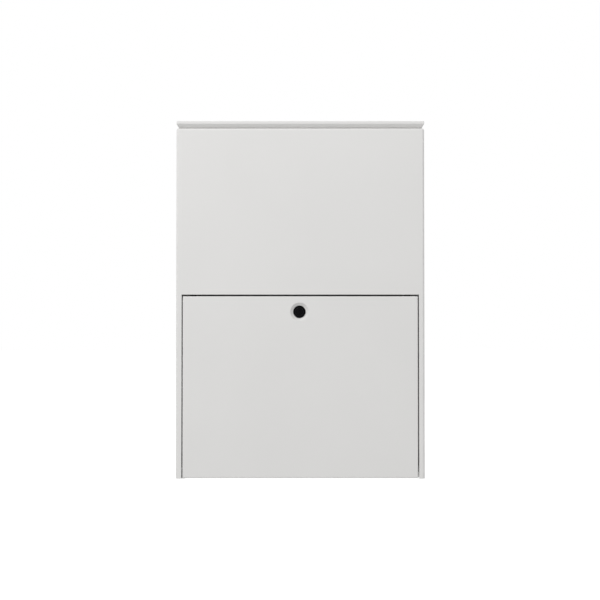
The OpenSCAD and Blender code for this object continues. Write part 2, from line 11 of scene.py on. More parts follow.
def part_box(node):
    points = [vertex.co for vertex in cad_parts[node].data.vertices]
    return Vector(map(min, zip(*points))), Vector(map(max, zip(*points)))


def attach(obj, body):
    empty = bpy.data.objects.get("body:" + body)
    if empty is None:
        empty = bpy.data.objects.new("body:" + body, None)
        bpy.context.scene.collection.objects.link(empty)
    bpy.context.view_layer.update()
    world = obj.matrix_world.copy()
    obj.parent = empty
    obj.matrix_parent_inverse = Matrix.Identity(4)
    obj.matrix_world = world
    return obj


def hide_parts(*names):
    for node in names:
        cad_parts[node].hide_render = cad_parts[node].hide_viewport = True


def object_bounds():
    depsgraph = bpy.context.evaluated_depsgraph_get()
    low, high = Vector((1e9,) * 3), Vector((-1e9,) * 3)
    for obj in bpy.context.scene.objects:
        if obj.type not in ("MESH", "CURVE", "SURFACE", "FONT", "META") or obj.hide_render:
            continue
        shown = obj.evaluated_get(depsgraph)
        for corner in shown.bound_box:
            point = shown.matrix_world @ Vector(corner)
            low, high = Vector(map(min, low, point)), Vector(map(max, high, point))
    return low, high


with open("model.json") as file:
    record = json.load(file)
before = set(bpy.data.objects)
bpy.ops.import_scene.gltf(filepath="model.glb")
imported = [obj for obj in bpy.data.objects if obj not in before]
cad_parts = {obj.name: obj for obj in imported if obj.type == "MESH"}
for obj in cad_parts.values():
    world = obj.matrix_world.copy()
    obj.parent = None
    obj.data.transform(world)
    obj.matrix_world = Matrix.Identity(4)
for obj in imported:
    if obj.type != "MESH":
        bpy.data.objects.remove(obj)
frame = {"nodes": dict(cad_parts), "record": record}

bl_info = {
    "name": "Parcel Locker",
    "version": (1, 0, 0),
    "blender": (4, 5, 0),
    "location": "View3D > Sidebar > Locker",
    "description": "Builds the visible pieces of a steel parcel locker around its packed frame",
    "category": "Object",
}

MM = 0.001
X, Y, Z = Vector((1, 0, 0)), Vector((0, 1, 0)), Vector((0, 0, 1))
RECORD = frame["record"]
BODY_OF = {node: body for body, nodes in RECORD["behaviour"]["bodies"].items() for node in nodes}
JOINT = {joint["name"]: joint for joint in RECORD["behaviour"]["joints"]}
MOUNT = {mount["name"]: mount for mount in RECORD["mounts"]}
CAD_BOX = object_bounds()
EDGE_MASK = "worn_edge"
NEAR = 1e-5
REAR_INSET = 16.25 * MM
MATERIALS = {}


# Settings that a user would change

class LockerSizes(bpy.types.PropertyGroup):
    """Sheet and edge sizes of the folded pieces."""

    sheet: bpy.props.FloatProperty(
        name="Sheet", description="Thickness of the folded steel sheet",
        default=1.5 * MM, unit="LENGTH", precision=4)
    fold: bpy.props.FloatProperty(
        name="Cabinet fold", description="Outer radius of the cabinet's folds",
        default=3.5 * MM, unit="LENGTH", precision=4)
    tight_fold: bpy.props.FloatProperty(
        name="Tight fold", description="Outer radius of the folds of the lid, door and small pieces",
        default=2 * MM, unit="LENGTH", precision=4)
    lid_return: bpy.props.FloatProperty(
        name="Lid return", description="How far the lid's slanted return runs in and down",
        default=6.5 * MM, unit="LENGTH", precision=4)
    burr: bpy.props.FloatProperty(
        name="Cut edge", description="Rounding that the coating gives a cut edge",
        default=0.3 * MM, unit="LENGTH", precision=5)


class LockerColours(bpy.types.PropertyGroup):
    """Colours of the finishes."""

    coat: bpy.props.FloatVectorProperty(
        name="Powder coat", description="Colour of the powder coat",
        default=(0.742, 0.737, 0.726), subtype="COLOR", min=0, max=1)
    zinc: bpy.props.FloatVectorProperty(
        name="Zinc", description="Colour of the zinc-plated hardware",
        default=(0.62, 0.63, 0.65), subtype="COLOR", min=0, max=1)
    rubber: bpy.props.FloatVectorProperty(
        name="Rubber", description="Colour of the seals",
        default=(0.018, 0.018, 0.02), subtype="COLOR", min=0, max=1)
    foam: bpy.props.FloatVectorProperty(
        name="Foam", description="Colour of the foam strips",
        default=(0.028, 0.028, 0.03), subtype="COLOR", min=0, max=1)
    nylon: bpy.props.FloatVectorProperty(
        name="Nylon", description="Colour of the bearings and bushes",
        default=(0.035, 0.035, 0.038), subtype="COLOR", min=0, max=1)
    lock: bpy.props.FloatVectorProperty(
        name="Lock", description="Colour of the lock's black face",
        default=(0.0036, 0.0036, 0.0044), subtype="COLOR", min=0, max=1)


class LockerStage(bpy.types.PropertyGroup):
    """Camera and light settings."""

    distance: bpy.props.FloatProperty(
        name="Distance", description="Distance of the camera from the cabinet's front",
        default=2.6, unit="LENGTH")
    pitch: bpy.props.FloatProperty(
        name="Pitch", description="How far the camera looks up",
        default=math.radians(1.6), subtype="ANGLE")
    frame_width: bpy.props.FloatProperty(
        name="Framed width", description="Width that the camera's view covers at the cabinet's front",
        default=0.9655, unit="LENGTH")
    aim_x: bpy.props.FloatProperty(
        name="Aim across", description="Where the camera points, right of the cabinet's middle",
        default=-0.5 * MM, unit="LENGTH", precision=4)
    aim_z: bpy.props.FloatProperty(
        name="Aim up", description="Where the camera points, above the cabinet's middle",
        default=-1.1 * MM, unit="LENGTH", precision=4)
    key: bpy.props.FloatProperty(
        name="Key", description="Power of the soft light at the upper left", default=50, unit="POWER")
    rear: bpy.props.FloatProperty(
        name="Rear", description="Power of the soft light behind the cabinet", default=18, unit="POWER")
    above: bpy.props.FloatProperty(
        name="Above", description="Strength of the soft light from above", default=0.56, min=0)
    below: bpy.props.FloatProperty(
        name="Below", description="Strength of the soft light from below", default=0.70, min=0)


def sizes():
    return bpy.context.scene.locker_sizes


def colours():
    return bpy.context.scene.locker_colours


# Shader groups and materials

def new_group(name, inputs, outputs):
    """An empty shader group with its sockets: inputs and outputs are (name, kind, default)."""
    group = bpy.data.node_groups.new(name, "ShaderNodeTree")
    for in_out, sockets in (("INPUT", inputs), ("OUTPUT", outputs)):
        for label, kind, default in sockets:
            socket = group.interface.new_socket(name=label, in_out=in_out, socket_type="NodeSocket" + kind)
            if default is not None:
                socket.default_value = default
    return group, group.nodes.new("NodeGroupInput"), group.nodes.new("NodeGroupOutput")


def add_node(tree, kind, settings=None, **inputs):
    """A shader node with its settings, and its inputs linked or set; _0 is the first input."""
    node = tree.nodes.new("ShaderNode" + kind)
    for key, value in (settings or {}).items():
        setattr(node, key, value)
    for key, value in inputs.items():
        socket = node.inputs[int(key[1:]) if key[0] == "_" else key.replace("_", " ")]
        if isinstance(value, bpy.types.NodeSocket):
            tree.links.new(value, socket)
        else:
            socket.default_value = value
    return node


def add_math(tree, operation, *values):
    """A maths node whose inputs are linked or set in turn."""
    inputs = {f"_{i}": value for i, value in enumerate(values)}
    return add_node(tree, "Math", {"operation": operation}, **inputs).outputs[0]


def tone_group():
    """Slow drift of a colour over a surface, with fine speckle."""
    group, source, sink = new_group(
        "Tone Drift",
        [("Vector", "Vector", None), ("Colour", "Color", (1, 1, 1, 1)), ("Drift", "Float", 0.04),
         ("Patch Scale", "Float", 6.0), ("Speckle Scale", "Float", 900.0)],
        [("Colour", "Color", None)])
    place, share = source.outputs["Vector"], 0.35
    patches = add_node(group, "TexNoise", Vector=place, Scale=source.outputs["Patch Scale"], Detail=3.0,
                       Roughness=0.55)
    speckle = add_node(group, "TexNoise", Vector=place, Scale=source.outputs["Speckle Scale"], Detail=1.0)
    mixed = add_math(group, "MULTIPLY_ADD", speckle.outputs["Fac"], share, patches.outputs["Fac"])
    centred = add_math(group, "SUBTRACT", mixed, (1 + share) / 2)
    scaled = add_math(group, "MULTIPLY_ADD", centred, source.outputs["Drift"], 1.0)
    toned = add_node(group, "VectorMath", {"operation": "SCALE"}, _0=source.outputs["Colour"], Scale=scaled)
    group.links.new(toned.outputs[0], sink.inputs["Colour"])
    return group


def peel_group():
    """Height of a sprayed or moulded skin: soft orange peel with fine grit on it."""
    group, source, sink = new_group(
        "Skin Texture",
        [("Vector", "Vector", None), ("Peel Scale", "Float", 420.0), ("Grit Scale", "Float", 2600.0),
         ("Grit", "Float", 0.3)],
        [("Height", "Float", None)])
    place = source.outputs["Vector"]
    peel = add_node(group, "TexNoise", Vector=place, Scale=source.outputs["Peel Scale"], Detail=2.0,
                    Roughness=0.45)
    grit = add_node(group, "TexNoise", Vector=place, Scale=source.outputs["Grit Scale"], Detail=1.0)
    height = add_math(group, "MULTIPLY_ADD", grit.outputs["Fac"], source.outputs["Grit"], peel.outputs["Fac"])
    group.links.new(height, sink.inputs["Height"])
    return group


def rub_group():
    """Roughness that wanders between two values in smears drawn out along one axis."""
    group, source, sink = new_group(
        "Rubbed Gloss",
        [("Vector", "Vector", None), ("Glossy", "Float", 0.3), ("Dull", "Float", 0.5),
         ("Stretch", "Vector", (4.0, 4.0, 9.0))],
        [("Roughness", "Float", None)])
    drawn = add_node(group, "VectorMath", {"operation": "MULTIPLY"},
                     _0=source.outputs["Vector"], _1=source.outputs["Stretch"])
    smear = add_node(group, "TexNoise", Vector=drawn.outputs[0], Scale=1.0, Detail=5.0, Roughness=0.6)
    fitted = add_node(group, "MapRange", Value=smear.outputs["Fac"], From_Min=0.3, From_Max=0.7,
                      To_Min=source.outputs["Glossy"], To_Max=source.outputs["Dull"])
    group.links.new(fitted.outputs[0], sink.inputs["Roughness"])
    return group


def wear_group():
    """Mask of handling: an edge mask made ragged, and a few fine scuffs on the flats."""
    group, source, sink = new_group(
        "Edge Wear",
        [("Vector", "Vector", None), ("Edge", "Float", 0.0), ("Amount", "Float", 0.5),
         ("Scuff Scale", "Float", 60.0)],
        [("Mask", "Float", None), ("Scuffs", "Float", None)])
    place = source.outputs["Vector"]
    broken = add_node(group, "TexNoise", Vector=place, Scale=140.0, Detail=4.0, Roughness=0.65)
    ragged = add_node(group, "MapRange", Value=broken.outputs["Fac"], From_Min=0.42, From_Max=0.62)
    rubbed = add_math(group, "MULTIPLY", source.outputs["Edge"], ragged.outputs[0])
    mask = add_math(group, "MULTIPLY", rubbed, source.outputs["Amount"])
    streaks = add_node(group, "TexVoronoi", {"feature": "DISTANCE_TO_EDGE"}, Vector=place,
                       Scale=source.outputs["Scuff Scale"], Randomness=1.0)
    thin = add_node(group, "MapRange", Value=streaks.outputs["Distance"], From_Min=0.0, From_Max=0.012,
                    To_Min=1.0, To_Max=0.0)
    sparse = add_node(group, "TexNoise", Vector=place, Scale=22.0, Detail=2.0)
    few = add_node(group, "MapRange", Value=sparse.outputs["Fac"], From_Min=0.58, From_Max=0.68)
    scuffs = add_math(group, "MULTIPLY", thin.outputs[0], few.outputs[0])
    group.links.new(mask, sink.inputs["Mask"])
    group.links.new(scuffs, sink.inputs["Scuffs"])
    return group


def build_groups():
    return {"tone": tone_group(), "peel": peel_group(), "rub": rub_group(), "wear": wear_group()}


def place_group(tree, group, **inputs):
    """A shader group in a material, with its inputs linked or set."""
    return add_node(tree, "Group", {"node_tree": group}, **inputs)


def finish_material(name, groups, colour, drift, gloss, stretch, peel, bump, worn, metallic=0.0, coat=0.0,
                    coat_roughness=0.2, specular=0.5):
    """A finish: toned colour, rubbed gloss, worn edges and a skin texture.

    gloss is (glossy, dull), peel is the scales of (peel, grit), bump is a depth, worn is (amount, colour)."""
    material = bpy.data.materials.new(name)
    material.use_nodes = True
    tree = material.node_tree
    shader = tree.nodes["Principled BSDF"]
    shader.inputs["Metallic"].default_value = metallic
    shader.inputs["Coat Weight"].default_value = coat
    shader.inputs["Coat Roughness"].default_value = coat_roughness
    shader.inputs["Specular IOR Level"].default_value = specular
    place = add_node(tree, "TexCoord").outputs["Object"]
    tone = place_group(tree, groups["tone"], Vector=place, Colour=(*colour, 1), Drift=drift)
    rub = place_group(tree, groups["rub"], Vector=place, Glossy=gloss[0], Dull=gloss[1], Stretch=stretch)
    skin = place_group(tree, groups["peel"], Vector=place, Peel_Scale=peel[0], Grit_Scale=peel[1])
    edge = add_node(tree, "Attribute", {"attribute_name": EDGE_MASK}).outputs["Fac"]
    wear = place_group(tree, groups["wear"], Vector=place, Edge=edge, Amount=worn[0])
    relief = add_node(tree, "Bump", Height=skin.outputs["Height"], Distance=bump, Strength=1.0)
    mixed = add_node(tree, "Mix", {"data_type": "RGBA"}, Factor=wear.outputs["Mask"],
                     A=tone.outputs["Colour"], B=(*worn[1], 1))
    marked = add_math(tree, "MULTIPLY_ADD", wear.outputs["Scuffs"], worn[0] * 0.3, rub.outputs["Roughness"])
    tree.links.new(mixed.outputs["Result"], shader.inputs["Base Color"])
    tree.links.new(marked, shader.inputs["Roughness"])
    tree.links.new(relief.outputs["Normal"], shader.inputs["Normal"])
    return material


def build_materials():
    """Every finish of the locker, by name."""
    groups = build_groups()
    shades = colours()
    even, fine = (5.0, 5.0, 5.0), (160.0, 160.0, 160.0)
    upright, drawn = (9.0, 9.0, 2.5), (60.0, 60.0, 12.0)
    bare, bright = (0.55, 0.55, 0.55), (0.78, 0.78, 0.78)
    chalk, dust = (0.05, 0.05, 0.052), (0.09, 0.088, 0.083)
    return {
        "coat": finish_material(
            "powder_coat", groups, shades.coat, drift=0.05, gloss=(0.36, 0.46), stretch=upright,
            peel=(420, 2600), bump=0.035 * MM, worn=(0.14, bare), coat=0.08, coat_roughness=0.35,
            specular=0.4),
        "zinc": finish_material(
            "zinc_plate", groups, shades.zinc, drift=0.35, gloss=(0.24, 0.46), stretch=drawn,
            peel=(160, 3200), bump=0.02 * MM, worn=(0.5, bright), metallic=1.0),
        "rubber": finish_material(
            "seal_rubber", groups, shades.rubber, drift=0.5, gloss=(0.55, 0.8), stretch=even,
            peel=(900, 3000), bump=0.05 * MM, worn=(0.6, chalk), specular=0.35),
        "foam": finish_material(
            "seal_foam", groups, shades.foam, drift=0.9, gloss=(0.85, 0.98), stretch=even,
            peel=(1500, 4200), bump=0.12 * MM, worn=(0.8, dust), specular=0.2),
        "nylon": finish_material(
            "moulded_nylon", groups, shades.nylon, drift=0.3, gloss=(0.4, 0.55), stretch=even,
            peel=(700, 2400), bump=0.03 * MM, worn=(0.6, chalk)),
        "lock": finish_material(
            "lock_black", groups, shades.lock, drift=0.8, gloss=(0.22, 0.42), stretch=fine,
            peel=(650, 2800), bump=0.03 * MM, worn=(0.3, chalk), specular=0.08),
    }


# Modelling

def mid_of(node):
    """Middle of a node's box."""
    lo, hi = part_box(node)
    return (lo + hi) / 2


def lock_at(y):
    """Point on the lock's axis."""
    mid = mid_of("lock_housing")
    return Vector((mid.x, y, mid.z))


def box_mesh(lo, hi):
    """A box between two corners."""
    bm = bmesh.new()
    bmesh.ops.create_cube(bm, size=1)
    centre, span = (Vector(lo) + Vector(hi)) / 2, Vector(hi) - Vector(lo)
    bmesh.ops.scale(bm, vec=span, verts=bm.verts)
    bmesh.ops.translate(bm, vec=centre, verts=bm.verts)
    bm.normal_update()
    return bm


def near(a, b):
    return abs(a - b) < NEAR


def widest(faces):
    return max(faces, key=lambda f: f.calc_area())


def facing(bm, direction):
    """Faces that look along a direction."""
    return [f for f in bm.faces if f.normal.dot(direction) > 0.999]


def drop_faces(bm, faces):
    bmesh.ops.delete(bm, geom=faces, context="FACES")


def edges_at(bm, axis, value, both=None):
    """Edges that lie in the plane where a coordinate has this value; both also tests the edge."""
    return [e for e in bm.edges
            if all(near(v.co[axis], value) for v in e.verts) and (both is None or both(e))]


def is_fold(edge):
    """True for an edge between two faces at an angle."""
    return len(edge.link_faces) == 2 and edge.calc_face_angle(0) > math.radians(20)


def is_level(edge, axis):
    """True for an edge whose ends have the same coordinate."""
    return near(edge.verts[0].co[axis], edge.verts[1].co[axis])


def folds(bm):
    """Every edge between two faces at an angle."""
    return [e for e in bm.edges if is_fold(e)]


def round_edges(bm, edges, radius, segments=6):
    """Rolls edges to a radius and masks the rolled faces as worn."""
    layers = bm.faces.layers.float
    mask = layers.get(EDGE_MASK) or layers.new(EDGE_MASK)
    rolled = bmesh.ops.bevel(bm, geom=list(edges), offset=radius, offset_type="OFFSET", segments=segments,
                             profile=0.5, affect="EDGES", material=-1, clamp_overlap=True)["faces"]
    for face in rolled:
        face[mask] = 1.0
    bm.normal_update()


def cut(bm, faces, point, direction):
    """Cuts faces along a plane."""
    faces = [f for f in faces if f.is_valid]
    geom = set(faces)
    for f in faces:
        geom.update(f.edges)
        geom.update(f.verts)
    bmesh.ops.bisect_plane(bm, geom=list(geom), dist=1e-7, plane_co=point, plane_no=direction)
    bm.normal_update()


def extend(bm, edges):
    """Extrudes open edges in place; returns the new vertices and the new outer edges."""
    made = bmesh.ops.extrude_edge_only(bm, edges=edges)["geom"]
    verts = [g for g in made if isinstance(g, bmesh.types.BMVert)]
    outer = [g for g in made if isinstance(g, bmesh.types.BMEdge) and all(v in verts for v in g.verts)]
    return verts, outer


def pull(bm, edges, *steps):
    """Runs open edges out step by step; returns the last edges."""
    for step in steps:
        verts, edges = extend(bm, edges)
        bmesh.ops.translate(bm, vec=step, verts=verts)
    bm.normal_update()
    return edges


def ring(bm, centre, radius, normal, count):
    """Edges of a circle."""
    turn = Z.rotation_difference(normal).to_matrix().to_4x4()
    made = bmesh.ops.create_circle(bm, segments=count, radius=radius,
                                   matrix=Matrix.Translation(centre) @ turn)["verts"]
    return list({e for v in made for e in v.link_edges})


def punch(bm, face, holes, count=32):
    """Fills a flat face again around round holes, given as (centre, radius); returns each hole's edges."""
    outline, normal = list(face.edges), face.normal.copy()
    bmesh.ops.delete(bm, geom=[face], context="FACES_ONLY")
    rings = [ring(bm, centre, radius, normal, count) for centre, radius in holes]
    bmesh.ops.triangle_fill(bm, edges=outline + [e for r in rings for e in r], use_beauty=True,
                            use_dissolve=False, normal=normal)
    bm.normal_update()
    return rings


def step_ring(bm, edges, centre, normal, profile):
    """Runs a round hole's edges through a profile of (radius, depth) steps below the surface."""
    for radius, depth in profile:
        verts, edges = extend(bm, edges)
        for v in verts:
            out = v.co - centre
            out -= normal * out.dot(normal)
            v.co = centre + out.normalized() * radius - normal * depth
    bm.normal_update()
    return edges


def fold_path(bm, points, axis, start, end):
    """A strip along X or Y whose section passes through points, given in the other two coordinates."""
    def place(p):
        return Vector((start, p[0], p[1])) if axis == X else Vector((p[0], start, p[1]))
    verts = [bm.verts.new(place(p)) for p in points]
    edges = [bm.edges.new(pair) for pair in zip(verts, verts[1:])]
    pull(bm, edges, axis * (end - start))


def spin_profile(bm, centre, axis, profile, steps):
    """Turns a profile of (radius, height) points about an axis through centre."""
    side = axis.orthogonal().normalized()
    verts = [bm.verts.new(centre + side * r + axis * h) for r, h in profile]
    edges = [bm.edges.new(pair) for pair in zip(verts, verts[1:])]
    bmesh.ops.spin(bm, geom=verts + edges, cent=centre, axis=axis, angle=math.tau, steps=steps,
                   use_merge=True)
    bmesh.ops.remove_doubles(bm, verts=bm.verts, dist=1e-7)


def face_out(bm, towards):
    """Makes the normals agree, with the widest face looking along a direction or nearest to it."""
    bmesh.ops.remove_doubles(bm, verts=bm.verts, dist=1e-6)
    bmesh.ops.recalc_face_normals(bm, faces=bm.faces)
    bm.normal_update()
    along = [f for f in bm.faces if abs(f.normal.dot(towards)) > 0.99]
    if widest(along).normal.dot(towards) < 0:
        bmesh.ops.reverse_faces(bm, faces=bm.faces)
    bm.normal_update()


def join(bm, part):
    """Adds a second bmesh to the first."""
    mesh = bpy.data.meshes.new("part")
    part.to_mesh(mesh)
    part.free()
    bm.from_mesh(mesh)
    bpy.data.meshes.remove(mesh)


def node_copy(node):
    """A copy of a node's mesh with its triangles merged."""
    bm = bmesh.new()
    bm.from_mesh(frame["nodes"][node].data)
    bmesh.ops.remove_doubles(bm, verts=bm.verts, dist=2e-6)
    return bm


def new_object(name, bm, material):
    """Makes a bmesh an object with one material."""
    mesh = bpy.data.meshes.new(name)
    bm.to_mesh(mesh)
    bm.free()
    made = bpy.data.objects.new(name, mesh)
    bpy.context.scene.collection.objects.link(made)
    mesh.materials.append(material)
    return made


def add_piece(name, bm, finish, nodes, wall=0.0, soft=None, segments=2, smooth_to=40):
    """Makes a bmesh a finished piece, with its wall, softened edges, body and nodes."""
    for face in bm.faces:
        face.smooth = True
    piece = new_object(name, bm, MATERIALS[finish])
    if wall:
        solid = piece.modifiers.new("Wall", "SOLIDIFY")
        solid.thickness, solid.offset, solid.use_even_offset = wall, -1, True
    soft = sizes().burr if soft is None else soft
    if soft:
        rolled = piece.modifiers.new("Edges", "BEVEL")
        rolled.width, rolled.segments, rolled.limit_method = soft, segments, "ANGLE"
        rolled.angle_limit = math.radians(smooth_to)
    even = piece.modifiers.new("Shading", "WEIGHTED_NORMAL")
    even.mode, even.weight, even.keep_sharp = "FACE_AREA", 50, True
    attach(piece, BODY_OF[nodes[0]])
    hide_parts(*nodes)
    return piece


def add_turned(name, bm, finish, node, soft=0):
    """Finishes a closed piece, with its faces turned outwards."""
    bmesh.ops.recalc_face_normals(bm, faces=bm.faces)
    return add_piece(name, bm, finish, [node], soft=soft)


def softened(name, node, finish, soft=0.25 * MM, segments=2):
    """A copy of a machined or stamped node with every hard edge broken."""
    bm = node_copy(node)
    bmesh.ops.dissolve_limit(bm, angle_limit=math.radians(1), verts=bm.verts, edges=bm.edges)
    hard = [e for e in bm.edges if len(e.link_faces) == 2 and e.calc_face_angle(0) > math.radians(32)]
    round_edges(bm, hard, soft, segments)
    return add_piece(name, bm, finish, [node], soft=0)


# Cabinet

def cabinet_shell():
    """Front and sides from one sheet, with the mouth's flange and the door's opening and jambs."""
    s = sizes()
    lo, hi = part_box("cabinet_wrap")
    strip_lo, strip_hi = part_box("door_seal_strips")
    mouth_flange, rear_flange, jamb_return = 14 * MM, 14.5 * MM, 11 * MM
    door_gap, below_strip, relief = 1.5 * MM, 5 * MM, 2 * MM
    mouth_x, mouth_y = hi.x - mouth_flange, lo.y + mouth_flange
    jamb_x, jamb_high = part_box("door_outer_skin")[1].x + door_gap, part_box("strike_rail")[0].z
    jamb_low, jamb_rear = strip_lo.z - below_strip, strip_hi.y
    bm = box_mesh(lo, hi)
    drop_faces(bm, facing(bm, -Z) + facing(bm, Y))
    round_edges(bm, folds(bm), s.fold)
    for x in (-mouth_x, mouth_x):
        cut(bm, facing(bm, Z), X * x, X)
    cut(bm, facing(bm, Z), Y * mouth_y, Y)
    drop_faces(bm, [f for f in facing(bm, Z)
                    if abs(f.calc_center_median().x) < mouth_x and f.calc_center_median().y > mouth_y])
    for x in (-jamb_x, jamb_x):
        cut(bm, facing(bm, -Y), X * x, X)
    cut(bm, facing(bm, -Y), Z * jamb_high, Z)
    cut(bm, facing(bm, -Y), Z * jamb_low, Z)
    drop_faces(bm, [f for f in facing(bm, -Y)
                    if abs(f.calc_center_median().x) < jamb_x and f.calc_center_median().z < jamb_high])
    cut(bm, facing(bm, -Y), Z * (jamb_low - relief), Z)

    def on_jamb(edge):
        return (edge.is_boundary and near(edge.verts[0].co.y, lo.y)
                and all(jamb_low - NEAR < v.co.z < jamb_high + NEAR for v in edge.verts))

    for side in (-1, 1):
        pull(bm, edges_at(bm, 0, side * jamb_x, on_jamb), Y * (jamb_rear - lo.y), X * (-side * jamb_return))
        rear = edges_at(bm, 0, side * hi.x, lambda e: e.is_boundary and near(e.verts[0].co.y, hi.y))
        pull(bm, rear, X * (-side * rear_flange))
    face_out(bm, -Y)
    return add_piece("cabinet_shell", bm, "coat", ["cabinet_wrap"], wall=s.sheet)


def back_sheet():
    """Back panel with its wall holes and the flange folded forward under the rear rail."""
    s = sizes()
    lo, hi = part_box("back_panel")
    mount = MOUNT["wall_bolts"]
    centre, dims = Vector(mount["pos_m"]), mount["dims"]
    bm = box_mesh((lo.x, hi.y - s.sheet, lo.z), hi)
    drop_faces(bm, [f for f in bm.faces if f.normal.y < 0.9])
    holes = [(centre + X * sx * dims["spacing_x_mm"] * MM / 2 + Z * sz * dims["spacing_y_mm"] * MM / 2,
              dims["hole_r_mm"] * MM) for sx in (-1, 1) for sz in (-1, 1)]
    flange_x = hi.x - REAR_INSET
    cut(bm, list(bm.faces), X * flange_x, X)
    cut(bm, list(bm.faces), X * -flange_x, X)
    top = edges_at(bm, 2, hi.z, lambda e: max(abs(v.co.x) for v in e.verts) < flange_x + NEAR)
    punch(bm, widest(bm.faces), holes)
    pull(bm, [e for e in top if e.is_valid], Y * (lo.y - hi.y))
    face_out(bm, Y)
    round_edges(bm, edges_at(bm, 2, hi.z, is_fold), s.tight_fold, 4)
    return add_piece("back_sheet", bm, "coat", ["back_panel"], wall=s.sheet)


def floor_tray():
    """Base tray with its edges turned up and the anchor holes."""
    s = sizes()
    lo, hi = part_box("floor_pan")
    dims = MOUNT["floor_bolts"]["dims"]
    bm = box_mesh(lo, hi)
    drop_faces(bm, facing(bm, Z))
    round_edges(bm, folds(bm), s.tight_fold, 5)
    holes = [(Vector((sx * dims["spacing_x_mm"], sy * dims["spacing_y_mm"], 0)) * MM / 2,
              dims["hole_r_mm"] * MM) for sx in (-1, 1) for sy in (-1, 1)]
    punch(bm, widest(facing(bm, -Z)), holes)
    face_out(bm, -Z)
    return add_piece("floor_tray", bm, "coat", ["floor_pan"], wall=s.sheet)


def strike_channel():
    """Channel behind the upper panel's lower edge."""
    s = sizes()
    lo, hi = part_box("strike_rail")
    bm = bmesh.new()
    fold_path(bm, [(lo.y, hi.z), (lo.y, lo.z), (hi.y, lo.z), (hi.y, hi.z)], X, lo.x, hi.x)
    face_out(bm, -Z)
    round_edges(bm, folds(bm), s.tight_fold, 5)
    return add_piece("strike_channel", bm, "coat", ["strike_rail"], wall=s.sheet)


def cap_tray(lo, hi, front_return):
    """The folded tray that the lid and the rear rail share: upright edges, then slanted returns."""
    s = sizes()
    run, corner_fold, knee_fold = s.lid_return, 1 * MM, 0.8 * MM
    knee = lo.z + run
    bm = box_mesh((lo.x, lo.y, knee), hi)
    drop_faces(bm, facing(bm, -Z))
    for v in extend(bm, edges_at(bm, 2, knee))[0]:
        v.co.z = lo.z
        v.co.x -= math.copysign(run, v.co.x)
        if front_return and near(v.co.y, lo.y):
            v.co.y += run
    bm.normal_update()
    round_edges(bm, [e for e in folds(bm) if not is_level(e, 2)], corner_fold, 3)
    round_edges(bm, edges_at(bm, 2, hi.z, is_fold), s.tight_fold, 5)
    round_edges(bm, edges_at(bm, 2, knee, is_fold), knee_fold, 3)
    for v in bm.verts:
        v.co.x = min(max(v.co.x, lo.x), hi.x)
        v.co.y = max(v.co.y, lo.y)
    return bm


def rear_rail():
    """Fixed cover behind the lid, with the foot that carries it and the skirt behind the hinge."""
    s = sizes()
    lo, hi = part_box("rear_top_rail")
    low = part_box("lid_shell")[0].z
    cab_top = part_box("cabinet_wrap")[1].z
    foot, foot_lap, skirt_lap, clear = 21.5 * MM, 2 * MM, 1 * MM, 5 * MM
    bm = cap_tray(Vector((lo.x, lo.y, low)), hi, False)
    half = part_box("back_panel")[1].x - REAR_INSET
    fold_path(bm, [(hi.y, low + foot_lap), (hi.y, cab_top), (hi.y - foot, cab_top)], X, -half, half)
    fold_path(bm, [(lo.y, low + skirt_lap), (lo.y, lo.z)], X, -half, half)
    bmesh.ops.recalc_face_normals(bm, faces=bm.faces)
    bm.normal_update()
    for f in bm.faces:
        mid = f.calc_center_median()
        foot_turned = near(mid.z, cab_top) and f.normal.z > 0
        skirt_turned = mid.z < cab_top + 0.1 * MM and f.normal.y > 0.9
        rear_turned = near(mid.y, hi.y) and f.normal.y < 0
        top_turned = mid.z > cab_top + clear and f.normal.z < -0.9
        if foot_turned or skirt_turned or rear_turned or top_turned:
            f.normal_flip()
    bm.normal_update()
    return add_piece("rear_rail", bm, "coat", ["rear_top_rail"], wall=s.sheet)


def gasket():
    """Bulb seal around the mouth: a foot on the flange with a round-topped bulb."""
    lo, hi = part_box("lid_seal")
    width, crown, pinch = 3.5 * MM, 1.6 * MM, 0.5 * MM
    waist = (lo.z + 3 * MM, lo.z + 3 * MM + 1.2 * MM)
    bm = bmesh.new()
    outline = [(lo.x, hi.y), (lo.x, lo.y), (hi.x, lo.y), (hi.x, hi.y), (hi.x - width, hi.y),
               (hi.x - width, lo.y + width), (lo.x + width, lo.y + width), (lo.x + width, hi.y)]
    foot = bm.faces.new([bm.verts.new((x, y, lo.z)) for x, y in outline])
    made = bmesh.ops.extrude_face_region(bm, geom=[foot])["geom"]
    top = [g for g in made if isinstance(g, bmesh.types.BMVert)]
    bmesh.ops.translate(bm, vec=Z * (hi.z - lo.z), verts=top)
    bmesh.ops.recalc_face_normals(bm, faces=bm.faces)
    bm.normal_update()
    for height in waist:
        cut(bm, list(bm.faces), Z * height, Z)
    for v in bm.verts:
        if any(near(v.co.z, height) for height in waist):
            outer_x, outer_y = abs(v.co.x) > hi.x - width / 2, v.co.y < lo.y + width / 2
            v.co.x -= math.copysign(pinch, v.co.x) * (1 if outer_x else -1)
            if v.co.y < lo.y + 2 * width:
                v.co.y += pinch if outer_y else -pinch
    round_edges(bm, edges_at(bm, 2, hi.z, is_fold), crown, 5)
    return add_piece("mouth_gasket", bm, "rubber", ["lid_seal"], soft=0.25 * MM, smooth_to=50)


def foam_strips():
    """Foam strips on the jambs."""
    bm = bmesh.new()
    lo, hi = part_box("door_seal_strips")
    inner = hi.x - 7 * MM
    for left, right in ((-hi.x, -inner), (inner, hi.x)):
        join(bm, box_mesh((left, lo.y, lo.z), (right, hi.y, hi.z)))
    bm.normal_update()
    return add_piece("foam_strips", bm, "foam", ["door_seal_strips"], soft=0.7 * MM, segments=4)


# Lid

